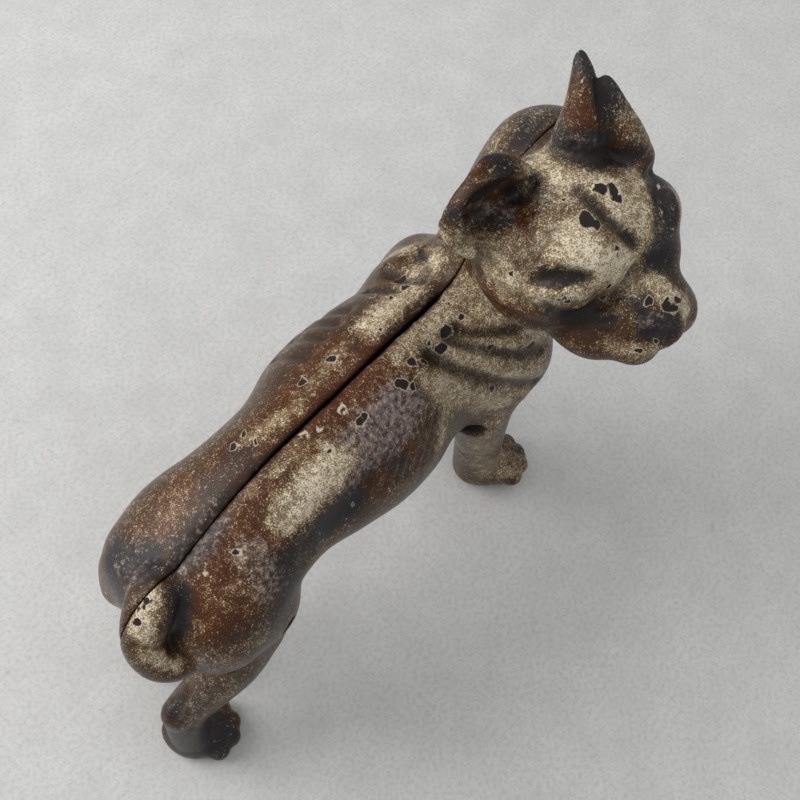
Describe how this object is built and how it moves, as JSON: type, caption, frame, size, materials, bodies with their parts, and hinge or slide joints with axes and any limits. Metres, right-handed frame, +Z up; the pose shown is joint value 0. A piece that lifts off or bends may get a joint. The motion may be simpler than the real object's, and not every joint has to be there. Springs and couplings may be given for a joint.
{
  "type": "still bank",
  "caption": "Standing bulldog coin bank with its head turned aside: hollow cast halves held together by screws, and an open seam along the back that takes the coins.",
  "frame": {"origin": "centre of the bounding box, on the ground under the soles", "axes": "+X the way the dog's chest points, +Y towards the dog's left, +Z up"},
  "size_m": [0.245, 0.1336, 0.25],
  "materials": {
    "old_paint": "worn dark brown gloss paint over iron, speckled cream where rubbed",
    "screw_steel": "dull, darkened"
  },
  "bodies": {
    "left_half": {"left_half_casting": "old_paint"},
    "right_half": {"right_half_casting": "old_paint"},
    "screw_front": {"front_screw": "screw_steel"},
    "screw_rear": {"rear_screw": "screw_steel"}
  },
  "joints": [
    {"name": "right_half_off", "type": "slide", "parent": "left_half", "child": "right_half", "axis": [0, -1, 0], "range_m": [0, 0.15]},
    {"name": "front_screw_out", "type": "slide", "parent": "right_half", "child": "screw_front", "axis": [0, -1, 0], "range_m": [0, 0.06]},
    {"name": "rear_screw_out", "type": "slide", "parent": "right_half", "child": "screw_rear", "axis": [0, -1, 0], "range_m": [0, 0.06]}
  ]
}
